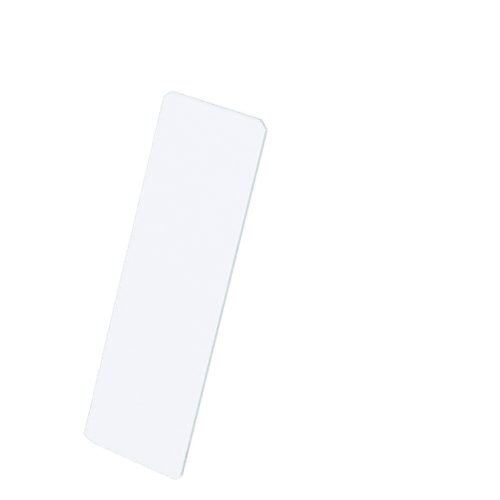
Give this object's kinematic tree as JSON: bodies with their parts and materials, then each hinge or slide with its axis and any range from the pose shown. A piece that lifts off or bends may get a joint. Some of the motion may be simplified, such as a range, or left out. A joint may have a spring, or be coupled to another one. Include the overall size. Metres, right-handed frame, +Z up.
{
  "type": "microscope slide",
  "caption": "Plain clear glass slide: a thin flat pane with clipped corners and fine ground edges that carries a specimen under a microscope.",
  "frame": {"origin": "middle of the face that the slide lies on", "axes": "+X along the slide, +Y across it, +Z up out of its upper face"},
  "size_m": [0.076, 0.026, 0.0011],
  "materials": {
    "clear_glass": "polished, with finely ground edges"
  },
  "bodies": {
    "root": {"glass_slide": "clear_glass"}
  },
  "joints": []
}
